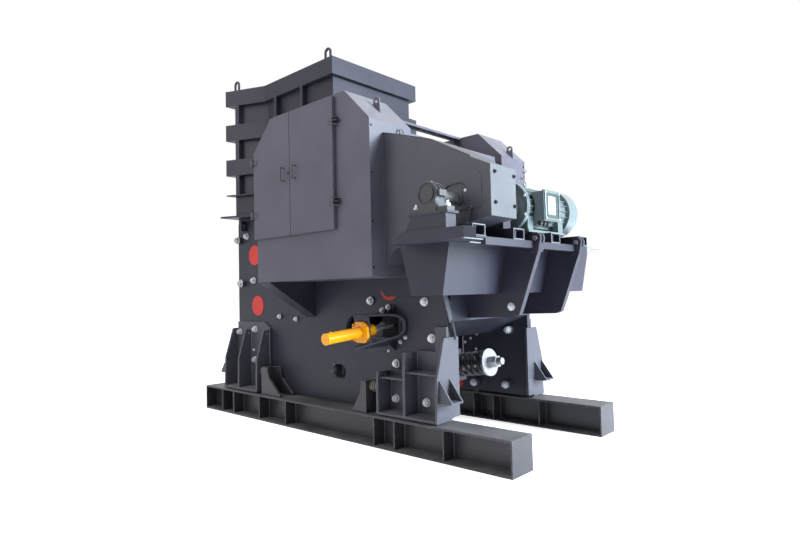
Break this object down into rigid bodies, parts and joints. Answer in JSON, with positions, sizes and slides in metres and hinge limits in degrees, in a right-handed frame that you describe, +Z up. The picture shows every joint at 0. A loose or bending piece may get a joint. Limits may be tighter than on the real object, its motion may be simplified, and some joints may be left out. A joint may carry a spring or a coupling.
{
  "type": "jaw crusher",
  "caption": "Single-toggle jaw crusher with feed hopper, guarded belt drive, rear motor platform and wedge cylinders, standing on carrying beams.",
  "frame": {"origin": "middle of the machine's outline on the ground, level with the underside of the carrying beams", "axes": "+X from the feed end to the motor end, -Y to the side with the belt guard, +Z up"},
  "size_m": [5.0595, 3.3, 4.5958],
  "materials": {
    "frame_paint": "satin",
    "guard_paint": "satin",
    "beam_paint": "satin",
    "motor_paint": "satin",
    "cylinder_paint": "gloss",
    "cover_paint": "satin",
    "wear_steel": "rough",
    "machined_steel": "brushed",
    "spring_steel": "satin",
    "bolt_steel": "zinc",
    "pad_rubber": "matte",
    "belt_rubber": "matte"
  },
  "bodies": {
    "machine": {"carrying_beams": "beam_paint", "side_plate_near": "frame_paint", "side_plate_far": "frame_paint", "front_wall": "frame_paint", "fixed_jaw": "wear_steel", "moving_jaw": "wear_steel", "cheek_plates": "wear_steel", "pitman": "frame_paint", "eccentric_shaft": "machined_steel", "bearing_housings": "frame_paint", "toggle_plate": "wear_steel", "toggle_seat": "wear_steel", "adjusting_wedges": "machined_steel", "cross_beam": "frame_paint", "tension_rod": "machined_steel", "tension_spring": "spring_steel", "front_feet": "frame_paint", "rear_feet": "frame_paint", "foot_pads": "pad_rubber", "beam_stoppers": "beam_paint", "buffer_stacks": "pad_rubber", "wedge_cylinders": "cylinder_paint", "wedge_rods": "machined_steel", "cylinder_brackets": "frame_paint", "hopper_walls": "frame_paint", "hopper_bands": "frame_paint", "hopper_eyes": "frame_paint", "drive_guard": "guard_paint", "flywheel_guard": "guard_paint", "flywheel_doors": "guard_paint", "guard_tie": "guard_paint", "guard_eyes": "guard_paint", "guard_brackets": "frame_paint", "guard_spacers": "frame_paint", "drive_pulley": "frame_paint", "flywheel": "frame_paint", "drive_belts": "belt_rubber", "belt_guard": "guard_paint", "belt_guard_end": "guard_paint", "belt_guard_lid": "guard_paint", "top_hood": "guard_paint", "pillow_blocks": "frame_paint", "bearing_supports": "frame_paint", "countershaft": "machined_steel", "motor_body": "motor_paint", "motor_fan_cover": "motor_paint", "terminal_box": "motor_paint", "drive_platform": "frame_paint", "platform_rails": "frame_paint", "platform_tray": "frame_paint", "hanger_arms": "frame_paint", "arm_pins": "machined_steel", "tray_brackets": "frame_paint", "tension_screw": "machined_steel", "side_discs": "cover_paint", "frame_bolts": "bolt_steel", "frame_lugs": "frame_paint"},
    "front_door": {"drive_door_front": "guard_paint"},
    "rear_door": {"drive_door_rear": "guard_paint"}
  },
  "joints": [
    {"name": "front_door_hinge", "type": "hinge", "parent": "machine", "child": "front_door", "pos_m": [-0.627, -1.49, 2.83], "axis": [0, 0, -1], "range_deg": [0, 110]},
    {"name": "rear_door_hinge", "type": "hinge", "parent": "machine", "child": "rear_door", "pos_m": [0.812, -1.49, 2.92], "axis": [0, 0, 1], "range_deg": [0, 110]}
  ]
}
